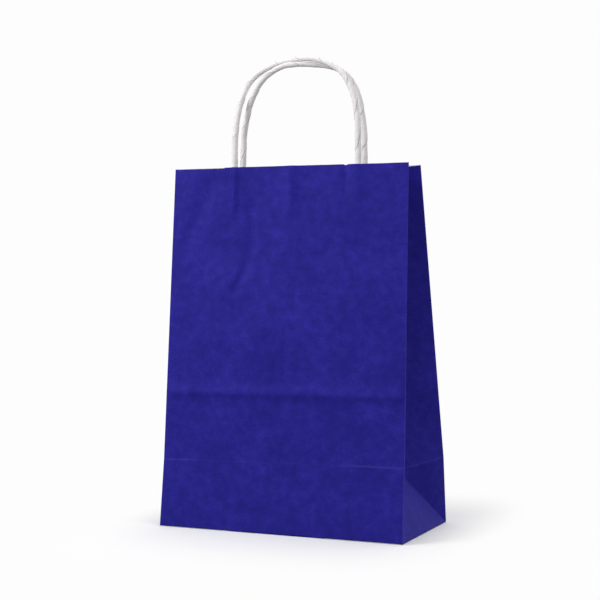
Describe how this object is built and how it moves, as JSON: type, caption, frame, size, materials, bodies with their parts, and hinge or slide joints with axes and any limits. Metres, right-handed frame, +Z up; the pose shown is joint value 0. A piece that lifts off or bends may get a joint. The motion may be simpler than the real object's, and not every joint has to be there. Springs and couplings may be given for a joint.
{
  "type": "paper carrier bag",
  "caption": "Open block-bottom paper bag with folded side gussets, a glued base and looped cord handles held by glued patches inside its mouth.",
  "frame": {"origin": "the middle of the base between its side folds, on the surface that the bag stands on", "axes": "+Z up from the base to the mouth; +X along the front panel, to the right as seen from the front; the front panel faces -Y and the back panel faces +Y"},
  "size_m": [0.2264, 0.1142, 0.4004],
  "materials": {
    "dyed_kraft": "matt dyed kraft paper with a slight machine glaze",
    "twisted_cord": "matt twisted white paper cord",
    "patch_paper": "matt white kraft paper"
  },
  "bodies": {
    "root": {"bag_body": "dyed_kraft", "front_handle": "twisted_cord", "rear_handle": "twisted_cord", "front_handle_patch": "patch_paper", "rear_handle_patch": "patch_paper"}
  },
  "joints": []
}
